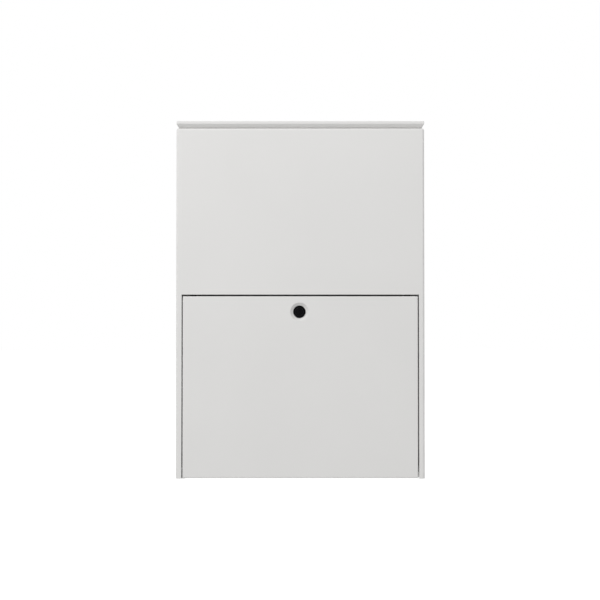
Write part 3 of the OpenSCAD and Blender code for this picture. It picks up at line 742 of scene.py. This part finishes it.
def lid_tray():
    """Lid: rolled top edges, an upright edge and mitred 45 degree returns."""
    lo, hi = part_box("lid_shell")
    bm = cap_tray(lo, hi, True)
    face_out(bm, Z)
    return add_piece("lid_tray", bm, "coat", ["lid_shell"], wall=sizes().sheet)


def hat_strip(bm, centre, top, crown, brim, height, start, end):
    """A hat section along Y under a level top."""
    half = crown / 2
    points = [(centre - half - brim, top), (centre - half, top), (centre - half, top - height),
              (centre + half, top - height), (centre + half, top), (centre + half + brim, top)]
    fold_path(bm, points, Y, start, end)


def lid_ribs():
    """Two hat sections welded under the lid."""
    s = sizes()
    lo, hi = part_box("lid_stiffeners")
    bm = bmesh.new()
    brim, crown, inset = 7 * MM, 30 * MM, 2.5 * MM
    for side in (-1, 1):
        hat_strip(bm, side * (hi.x - brim - crown / 2 - inset), hi.z - s.sheet, crown, brim,
                  hi.z - lo.z - s.sheet, lo.y, hi.y)
    face_out(bm, -Z)
    round_edges(bm, folds(bm), s.tight_fold, 4)
    for v in bm.verts:
        v.co.z = min(v.co.z, hi.z)
    return add_piece("lid_ribs", bm, "coat", ["lid_stiffeners"], wall=s.sheet)


# Door and lock

def door_tray():
    """Door's outer tray, with rolled edges, the pressed dish around the lock and the hinge holes."""
    s = sizes()
    lo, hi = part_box("door_outer_skin")
    centre = lock_at(lo.y)
    pivot = Vector(JOINT["door_hinge"]["pos_m"])
    bush_r, dish_r = 3.6 * MM, 15.1 * MM
    bm = box_mesh(lo, hi)
    drop_faces(bm, facing(bm, Y))
    round_edges(bm, folds(bm), s.tight_fold, 6)
    for side in (-1, 1):
        punch(bm, widest(facing(bm, X * side)), [(Vector((side * hi.x, pivot.y, pivot.z)), bush_r)])
    dish = punch(bm, widest(facing(bm, -Y)), [(centre, dish_r)], 96)[0]
    lip = [(14.75, 0.05), (14.4, 0.22), (14.1, 0.52), (13.85, 0.95)]
    wall = [(13.3, 1.65), (12.6, 2.25), (11.8, 2.75)]
    foot = [(11.0, 3.16), (10.5, 3.38), (10.1, 3.5), (9.55, 3.5)]
    step_ring(bm, dish, centre, -Y, [(r * MM, depth * MM) for r, depth in lip + wall + foot])
    face_out(bm, -Y)
    return add_piece("door_tray", bm, "coat", ["door_outer_skin"], wall=s.sheet)


def door_liner():
    """Door's inner skin, with its pressed pan and the hole for the lock."""
    s = sizes()
    lo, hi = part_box("door_inner_skin")
    pan_depth = hi.y - lo.y - s.sheet
    side, low, high = 150 * MM, 40 * MM, 230 * MM
    corner_r, rim_r, lock_r = 6 * MM, 1.6 * MM, 9.6 * MM
    bm = box_mesh(lo, hi)
    drop_faces(bm, [f for f in bm.faces if f.normal.y < 0.9])
    for point, direction in ((X * side, X), (X * -side, X), (Z * low, Z), (Z * high, Z)):
        cut(bm, list(bm.faces), point, direction)
    middle = [f for f in bm.faces if abs(f.calc_center_median().x) < side]
    pan = [f for f in middle if low < f.calc_center_median().z < high]
    bmesh.ops.inset_region(bm, faces=pan, thickness=pan_depth, depth=-pan_depth, use_even_offset=True)
    bm.normal_update()
    round_edges(bm, [e for e in folds(bm) if not is_level(e, 1)], corner_r, 6)
    round_edges(bm, [e for e in folds(bm) if is_level(e, 1)], rim_r, 4)
    seat = next(f for f in facing(bm, Y)
                if abs(f.calc_center_median().x) < side and f.calc_center_median().z > high)
    punch(bm, seat, [(lock_at(hi.y), lock_r)], 48)
    face_out(bm, Y)
    return add_piece("door_liner", bm, "coat", ["door_inner_skin"], wall=s.sheet)


def lock_face():
    """Lock body: a black face ring with a groove and a rolled edge, and the barrel behind it."""
    lo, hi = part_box("lock_housing")
    length = hi.y - lo.y
    face, barrel, bore = (hi.x - lo.x) / 2, 9.5 * MM, 6.55 * MM
    lead, flange = 0.35 * MM, 1.5 * MM
    hole = [(bore, length), (bore, lead), (bore + lead, 0)]
    groove = [(7.5 * MM, 0), (7.7 * MM, 0.3 * MM), (8.3 * MM, 0.3 * MM), (8.5 * MM, 0)]
    rim = [(face - 0.7 * MM, 0), (face - 0.2 * MM, 0.22 * MM), (face, 0.7 * MM), (face, flange)]
    body = [(barrel, flange), (barrel, length), (bore, length)]
    bm = bmesh.new()
    spin_profile(bm, lock_at(lo.y), Y, hole + groove + rim + body, 96)
    return add_turned("lock_face", bm, "lock", "lock_housing", 0.1 * MM)


def key_plug():
    """Key plug: a domed rim, a round-ended keyway with a dust shutter, and the tenon for the cam."""
    lo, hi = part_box("lock_plug")
    centre = lock_at(lo.y)
    outer, rim, tenon = (hi.x - lo.x) / 2, 0.4 * MM, 4 * MM
    slot, slot_depth, slot_end = Vector((0.9 * MM, 0, 4 * MM)), 3 * MM, 0.85 * MM
    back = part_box("lock_cam")[0].y
    bm = box_mesh(centre - slot, centre + slot + Y * slot_depth)
    drop_faces(bm, facing(bm, -Y))
    round_edges(bm, [e for e in folds(bm) if not is_level(e, 1)], slot_end, 4)
    bmesh.ops.reverse_faces(bm, faces=bm.faces)
    mouth = edges_at(bm, 1, lo.y, lambda e: e.is_boundary)
    edge = ring(bm, centre, outer - rim, -Y, 96)
    bmesh.ops.triangle_fill(bm, edges=mouth + edge, use_beauty=True, use_dissolve=False, normal=-Y)
    rolled = [(outer - rim * 0.3, rim * 0.3), (outer, rim)]
    last = step_ring(bm, edge, centre, -Y, rolled + [(outer, back - lo.y)])
    bmesh.ops.holes_fill(bm, edges=last)
    join(bm, box_mesh(lock_at(back) - (X + Z) * tenon, lock_at(hi.y) + (X + Z) * tenon))
    return add_turned("key_plug", bm, "lock", "lock_plug", 0.12 * MM)


# Flap

def flap_sheet():
    """Flap, curled round its shaft at the top and turned in at its edge and sides."""
    s = sizes()
    lo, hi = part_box("flap_panel")
    pivot = Vector(JOINT["flap_hinge"]["pos_m"])
    below_curl, side_return, lip_gap = 14 * MM, 10 * MM, 3 * MM
    curl = pivot.y - lo.y
    steps = 20
    start, end = math.radians(-60), math.radians(180)
    arc = [(pivot.y + curl * math.cos(a), pivot.z + curl * math.sin(a))
           for a in (start + (end - start) * i / steps for i in range(steps + 1))]
    flat = [(lo.y, pivot.z - below_curl), (lo.y, lo.z), (hi.y - lip_gap, lo.z)]
    bm = bmesh.new()
    fold_path(bm, arc + flat, X, lo.x, hi.x)
    face_out(bm, -Y)

    def on_flat(edge):
        return (all(near(v.co.y, lo.y) for v in edge.verts)
                and max(v.co.z for v in edge.verts) < pivot.z - below_curl + NEAR)

    for side in (-1, 1):
        pull(bm, edges_at(bm, 0, side * hi.x, on_flat), Y * side_return)
    face_out(bm, -Y)
    round_edges(bm, edges_at(bm, 1, lo.y, lambda e: is_fold(e) and max(v.co.z for v in e.verts) < pivot.z),
                s.tight_fold, 4)
    return add_piece("flap_sheet", bm, "coat", ["flap_panel"], wall=s.sheet)


def flap_rib():
    """Hat section across the flap's underside."""
    s = sizes()
    lo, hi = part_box("flap_stiffener")
    crown = 17.5 * MM
    low, high = (lo.z + hi.z) / 2 - crown / 2, (lo.z + hi.z) / 2 + crown / 2
    foot = lo.y + s.sheet
    bm = bmesh.new()
    fold_path(bm, [(foot, lo.z), (foot, low), (hi.y, low), (hi.y, high), (foot, high), (foot, hi.z)],
              X, lo.x, hi.x)
    face_out(bm, Y)
    round_edges(bm, folds(bm), s.tight_fold, 4)
    return add_piece("flap_rib", bm, "coat", ["flap_stiffener"], wall=s.sheet)


def flap_edge():
    """Rubber channel over the flap's edge, with rounded lips."""
    return softened("flap_edge", "flap_edge_trim", "rubber", soft=0.8 * MM, segments=4)


# Hardware

def dome_rivets(name, node, centres, axis, radius, height):
    """Blind rivets: domed heads with the mandrel's dimple; centres lie in the seats' plane."""
    dimple = [(0.0, height * 0.72), (radius * 0.28, height * 0.72), (radius * 0.34, height * 0.98)]
    dome = [(radius * math.cos(a), height * math.sin(a))
            for a in (math.radians(d) for d in (62, 45, 28, 12, 0))]
    bm = bmesh.new()
    for centre in centres:
        spin_profile(bm, centre, axis, dimple + dome + [(0.0, 0.0)], 24)
    return add_turned(name, bm, "zinc", node)


def boxes_of(node):
    """Box of each separate solid in a node, from left to right."""
    bm = node_copy(node)
    left, groups = set(bm.verts), []
    while left:
        stack = [left.pop()]
        group = list(stack)
        while stack:
            for e in stack.pop().link_edges:
                for v in e.verts:
                    if v in left:
                        left.remove(v)
                        stack.append(v)
                        group.append(v)
        lows = Vector(min(v.co[i] for v in group) for i in range(3))
        highs = Vector(max(v.co[i] for v in group) for i in range(3))
        groups.append((lows, highs))
    bm.free()
    return sorted(groups, key=lambda g: (round(g[0].x, 4), round(g[0].y, 4), round(g[0].z, 4)))


def rivets():
    """All the blind rivets."""
    height = 1 * MM
    for name, node, axis, radius in (("back_rivets", "panel_rivets", -Y, 2.2 * MM),
                                     ("rail_rivets", "fixed_leaf_rivets", Y, 2 * MM),
                                     ("lid_rivets", "moving_leaf_rivets", -Y, 2 * MM)):
        seats = []
        for lo, hi in boxes_of(node):
            mid = (lo + hi) / 2
            seats.append(Vector((mid.x, lo.y + height if axis == -Y else hi.y - height, mid.z)))
        dome_rivets(name, node, seats, axis, radius, height)


def socket_screw(bm, seat, axis, radius, height, shank, length):
    """A button-head screw: domed head with a hexagon socket, and a shank with a chamfered tip."""
    dome = [(radius * 0.56, height), (radius * 0.72, height * 0.93), (radius * 0.9, height * 0.66),
            (radius, height * 0.3), (radius, 0.0)]
    tip = 0.5 * MM
    rod = [(shank, 0.0), (shank, -length + tip), (shank - tip, -length), (0.0, -length)]
    spin_profile(bm, seat, axis, dome + rod, 48)

    def on_rim(vert):
        out = vert.co - seat
        return near(out.dot(axis), height) and out.length < radius * 1.5 + height

    open_rim = [e for e in bm.edges if e.is_boundary and all(on_rim(v) for v in e.verts)]
    socket = ring(bm, seat + axis * height, radius * 0.42, axis, 6)
    bmesh.ops.triangle_fill(bm, edges=open_rim + socket, use_beauty=True, use_dissolve=False, normal=axis)
    last = pull(bm, socket, axis * (-height * 0.6))
    bmesh.ops.holes_fill(bm, edges=last)


def bearing_bolts():
    """Screws that hold the flap's bearings, from inside the cabinet."""
    radius, height, shank, length = 3.8 * MM, 2.4 * MM, 2 * MM, 2.9 * MM
    bm = bmesh.new()
    for lo, hi in boxes_of("bearing_screws"):
        mid = (lo + hi) / 2
        side = math.copysign(1, mid.x)
        seat = Vector((side * (min(abs(lo.x), abs(hi.x)) + height), mid.y, mid.z))
        socket_screw(bm, seat, X * -side, radius, height, shank, length)
    return add_turned("bearing_bolts", bm, "zinc", "bearing_screws")


def cam_screw():
    """Screw and washer that hold the cam on the plug."""
    radius, height, shank, length = 4 * MM, 2 * MM, 1.95 * MM, 6 * MM
    bore, rim, thick = 2.1 * MM, 6.5 * MM, 1 * MM
    mid = mid_of("lock_cam_screw")
    seat = Vector((mid.x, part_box("lock_cam")[1].y, mid.z))
    bm = bmesh.new()
    spin_profile(bm, seat, Y, [(bore, 0), (rim, 0), (rim, thick), (bore, thick), (bore, 0)], 48)
    socket_screw(bm, seat + Y * thick, Y, radius, height, shank, length)
    return add_turned("cam_screw", bm, "zinc", "lock_cam_screw")


def rail_bolts():
    """Screws and nuts that hold the rear rail."""
    return softened("rail_bolts", "rail_fasteners", "zinc", 0.35 * MM, 3)


def hardware():
    """Hinge, linkage, bearings and the door's hinge parts, with their edges broken."""
    plated = ["hinge_fixed_leaf", "hinge_moving_leaf", "hinge_pin", "door_hinge_pins", "lid_arm_left",
              "lid_arm_right", "lid_arm_pins", "lid_arm_clips", "link_rod_left", "link_rod_right",
              "flap_shaft", "flap_crank_left", "flap_crank_right", "flap_crank_pins", "flap_crank_clips",
              "door_lug_left", "door_lug_right", "door_stop_lugs", "lock_nut", "lock_cam"]
    for node in plated:
        softened(node + "_finished", node, "zinc")
    for node in ("flap_bearing_left", "flap_bearing_right", "door_bushes"):
        softened(node + "_finished", node, "nylon", 0.4 * MM, 3)
    for node in ("door_bracket_left", "door_bracket_right"):
        softened(node + "_finished", node, "coat", 0.3 * MM)


# Stage

def white_world(above, below):
    """Soft light with its own strength from above and below, seen by the camera as plain white."""
    world = bpy.data.worlds.new("studio")
    world.use_nodes = True
    tree = world.node_tree
    tree.nodes.clear()
    path = add_node(tree, "LightPath")
    height = add_node(tree, "SeparateXYZ", Vector=add_node(tree, "TexCoord").outputs["Generated"])
    strength = add_node(tree, "MapRange", Value=height.outputs["Z"], From_Min=-0.4, From_Max=0.4,
                        To_Min=below, To_Max=above)
    light = add_node(tree, "Background", Color=(1, 1, 1, 1), Strength=strength.outputs[0])
    seen = add_node(tree, "Background", Color=(1, 1, 1, 1), Strength=1.0)
    both = add_node(tree, "MixShader", _0=path.outputs["Is Camera Ray"], _1=light.outputs[0],
                    _2=seen.outputs[0])
    add_node(tree, "OutputWorld", Surface=both.outputs[0])
    bpy.context.scene.world = world


def floor_material():
    """A pale matt floor, nearly white from above with faint shadows, and clear from below."""
    pale = bpy.data.materials.new("pale_floor")
    pale.use_nodes = True
    tree = pale.node_tree
    tree.nodes.clear()
    matt = add_node(tree, "BsdfPrincipled", Base_Color=(0.45, 0.45, 0.45, 1), Roughness=0.9,
                    Specular_IOR_Level=0.0, Emission_Color=(1, 1, 1, 1), Emission_Strength=0.77)
    clear = add_node(tree, "BsdfTransparent")
    side = add_node(tree, "NewGeometry").outputs["Backfacing"]
    both = add_node(tree, "MixShader", _0=side, _1=matt.outputs[0], _2=clear.outputs[0])
    add_node(tree, "OutputMaterial", Surface=both.outputs[0])
    return pale


def soft_light(name, place, aim, size, power):
    """A large square softbox."""
    data = bpy.data.lights.new(name, "AREA")
    data.shape, data.size, data.energy = "SQUARE", size, power
    lamp = bpy.data.objects.new(name, data)
    bpy.context.scene.collection.objects.link(lamp)
    lamp.location = place
    lamp.rotation_euler = (Vector(aim) - Vector(place)).to_track_quat("-Z", "Y").to_euler()


def floor_sheet(height):
    """The floor, which only the camera sees."""
    half = 60
    bm = bmesh.new()
    bmesh.ops.create_grid(bm, x_segments=1, y_segments=1, size=half)
    bmesh.ops.translate(bm, vec=Z * height, verts=bm.verts)
    floor = new_object("floor", bm, floor_material())
    floor.visible_diffuse = floor.visible_glossy = floor.visible_shadow = False


def add_camera(middle, front, settings):
    """The camera, which stands before the front and looks slightly up at it."""
    data = bpy.data.cameras.new("camera")
    data.sensor_width = 36
    data.lens = data.sensor_width * settings.distance / settings.frame_width
    data.clip_end = 200
    camera = bpy.data.objects.new("camera", data)
    bpy.context.scene.collection.objects.link(camera)
    drop = math.tan(settings.pitch) * settings.distance
    target = Vector((middle.x + settings.aim_x, front, middle.z + settings.aim_z))
    camera.location = target - Y * settings.distance - Z * drop
    camera.rotation_euler = (target - camera.location).to_track_quat("-Z", "Y").to_euler()
    bpy.context.scene.camera = camera


def studio():
    """Pale floor, soft lights and the camera."""
    settings = bpy.context.scene.locker_stage
    lo, hi = CAD_BOX
    middle = (lo + hi) / 2
    floor_gap = 0.2 * MM
    floor_sheet(lo.z - floor_gap)
    white_world(settings.above, settings.below)
    soft_light("key", place=(-1.2, -2.0, 2.2), aim=middle, size=2.4, power=settings.key)
    soft_light("rear", place=(1.6, 2.4, 1.8), aim=middle, size=1.5, power=settings.rear)
    add_camera(middle, lo.y, settings)
    bpy.context.scene.view_settings.view_transform = "Standard"


# Operators, one for each piece or group of like pieces

class LOCKER_OT_finishes(bpy.types.Operator):
    """Build the finishes"""

    bl_idname = "locker.finishes"
    bl_label = "Finishes"

    def execute(self, context):
        MATERIALS.update(build_materials())
        return {"FINISHED"}


class LOCKER_OT_cabinet(bpy.types.Operator):
    """Build the cabinet's folded shell"""

    bl_idname = "locker.cabinet"
    bl_label = "Cabinet shell"

    def execute(self, context):
        cabinet_shell()
        return {"FINISHED"}


class LOCKER_OT_panels(bpy.types.Operator):
    """Build the back sheet, the floor tray and the strike channel"""

    bl_idname = "locker.panels"
    bl_label = "Back, floor and strike"

    def execute(self, context):
        back_sheet()
        floor_tray()
        strike_channel()
        return {"FINISHED"}


class LOCKER_OT_rear_rail(bpy.types.Operator):
    """Build the fixed rail behind the lid"""

    bl_idname = "locker.rear_rail"
    bl_label = "Rear rail"

    def execute(self, context):
        rear_rail()
        return {"FINISHED"}


class LOCKER_OT_lid(bpy.types.Operator):
    """Build the lid and its ribs"""

    bl_idname = "locker.lid"
    bl_label = "Lid"

    def execute(self, context):
        lid_tray()
        lid_ribs()
        return {"FINISHED"}


class LOCKER_OT_door(bpy.types.Operator):
    """Build the door's two skins"""

    bl_idname = "locker.door"
    bl_label = "Door"

    def execute(self, context):
        door_tray()
        door_liner()
        return {"FINISHED"}


class LOCKER_OT_lock(bpy.types.Operator):
    """Build the lock's face and key plug"""

    bl_idname = "locker.lock"
    bl_label = "Lock"

    def execute(self, context):
        lock_face()
        key_plug()
        return {"FINISHED"}


class LOCKER_OT_flap(bpy.types.Operator):
    """Build the flap, its rib and its rubber edge"""

    bl_idname = "locker.flap"
    bl_label = "Flap"

    def execute(self, context):
        flap_sheet()
        flap_rib()
        flap_edge()
        return {"FINISHED"}


class LOCKER_OT_seals(bpy.types.Operator):
    """Build the mouth's gasket and the door's foam strips"""

    bl_idname = "locker.seals"
    bl_label = "Seals"

    def execute(self, context):
        gasket()
        foam_strips()
        return {"FINISHED"}


class LOCKER_OT_fasteners(bpy.types.Operator):
    """Build the rivets and screws"""

    bl_idname = "locker.fasteners"
    bl_label = "Fasteners"

    def execute(self, context):
        rivets()
        bearing_bolts()
        cam_screw()
        rail_bolts()
        return {"FINISHED"}


class LOCKER_OT_hardware(bpy.types.Operator):
    """Build the hinge, linkage and bearing hardware"""

    bl_idname = "locker.hardware"
    bl_label = "Hardware"

    def execute(self, context):
        hardware()
        return {"FINISHED"}


class LOCKER_OT_studio(bpy.types.Operator):
    """Build the floor, the lights and the camera"""

    bl_idname = "locker.studio"
    bl_label = "Studio"

    def execute(self, context):
        studio()
        return {"FINISHED"}


OPERATORS = (
    LOCKER_OT_finishes, LOCKER_OT_cabinet, LOCKER_OT_panels, LOCKER_OT_rear_rail, LOCKER_OT_lid,
    LOCKER_OT_door, LOCKER_OT_lock, LOCKER_OT_flap, LOCKER_OT_seals, LOCKER_OT_fasteners,
    LOCKER_OT_hardware, LOCKER_OT_studio,
)
SETTINGS = (LockerSizes, LockerColours, LockerStage)


class LOCKER_PT_build(bpy.types.Panel):
    """Lists the locker's settings and build steps"""

    bl_label = "Parcel Locker"
    bl_space_type = "VIEW_3D"
    bl_region_type = "UI"
    bl_category = "Locker"

    def draw(self, context):
        layout = self.layout
        scene = context.scene
        for settings in (scene.locker_sizes, scene.locker_colours, scene.locker_stage):
            box = layout.box()
            for key in settings.__annotations__:
                box.prop(settings, key)
        for operator in OPERATORS:
            layout.operator(operator.bl_idname)


def register():
    for kind in SETTINGS + OPERATORS + (LOCKER_PT_build,):
        bpy.utils.register_class(kind)
    bpy.types.Scene.locker_sizes = bpy.props.PointerProperty(type=LockerSizes)
    bpy.types.Scene.locker_colours = bpy.props.PointerProperty(type=LockerColours)
    bpy.types.Scene.locker_stage = bpy.props.PointerProperty(type=LockerStage)


def unregister():
    del bpy.types.Scene.locker_stage
    del bpy.types.Scene.locker_colours
    del bpy.types.Scene.locker_sizes
    for kind in reversed(SETTINGS + OPERATORS + (LOCKER_PT_build,)):
        bpy.utils.unregister_class(kind)


def main():
    register()
    for operator in OPERATORS:
        group, name = operator.bl_idname.split(".")
        getattr(getattr(bpy.ops, group), name)()


if __name__ == "__main__":
    main()
